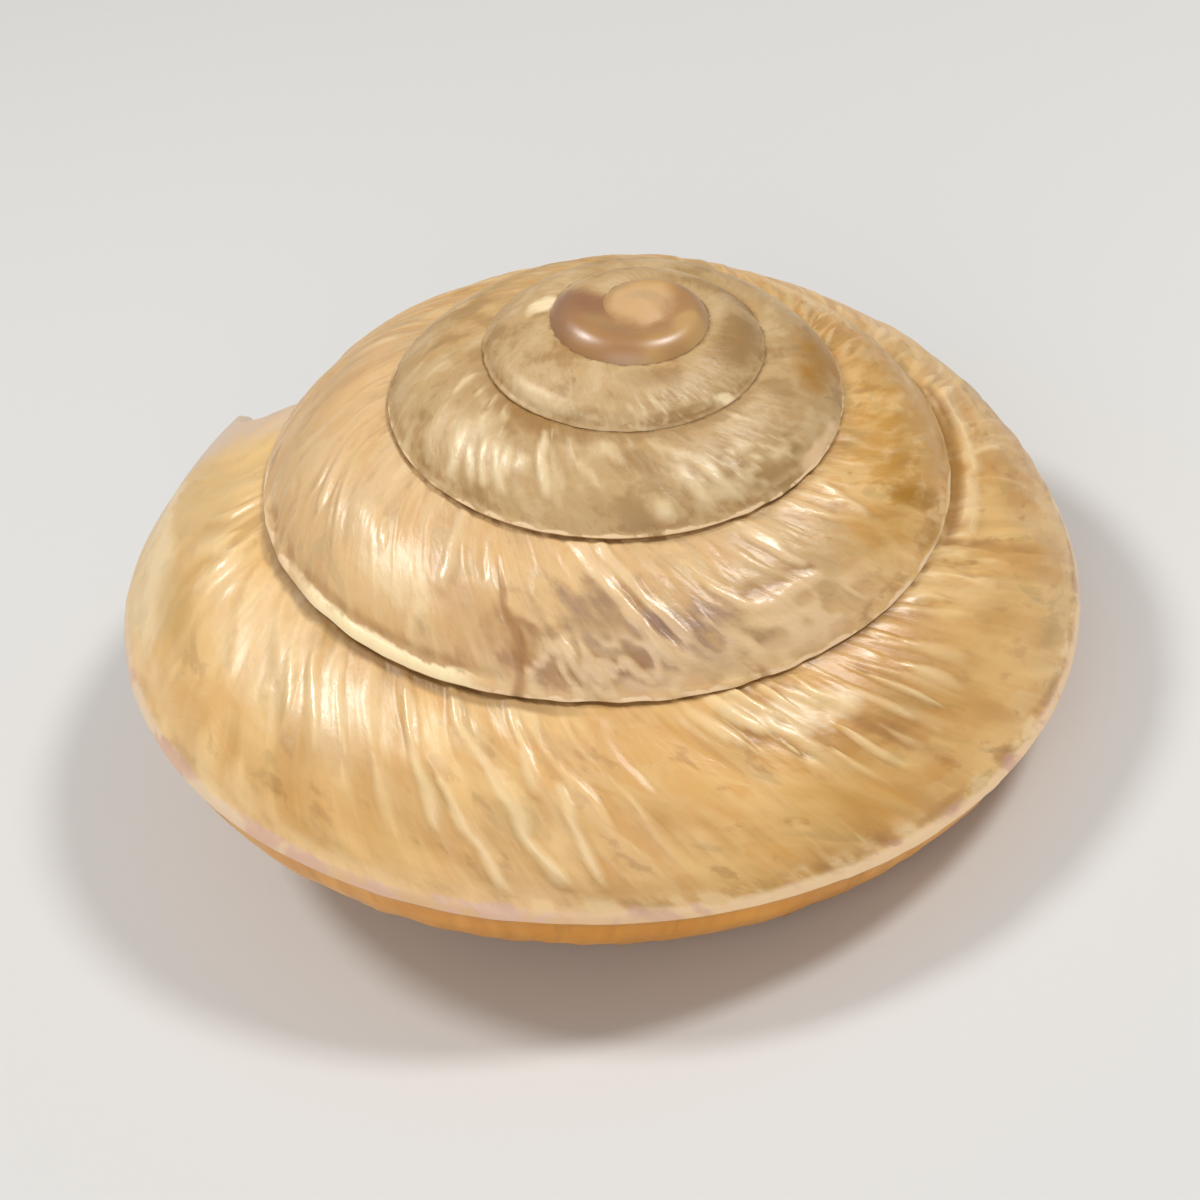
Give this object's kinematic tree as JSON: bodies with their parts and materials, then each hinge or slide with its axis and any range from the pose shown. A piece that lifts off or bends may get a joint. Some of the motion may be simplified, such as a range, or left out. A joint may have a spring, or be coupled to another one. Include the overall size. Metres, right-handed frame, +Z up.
{
  "type": "land snail shell",
  "caption": "Keeled, lens-shaped land snail shell with a low domed spire, coiled clockwise, hollow, with an open mouth and navel, lying on its base.",
  "frame": {"origin": "middle of the bounding box at the height of the surface that the shell lies on", "axes": "+Z up from the surface it lies on; the mouth faces back left (-X, +Y); the coiling axis leans 12.3 degrees from +Z, towards +X"},
  "size_m": [0.016, 0.0146, 0.008],
  "materials": {
    "shell": "satin, straw-coloured, with fine slanting growth wrinkles and a paler keel"
  },
  "bodies": {
    "root": {"shell": "shell"}
  },
  "joints": []
}
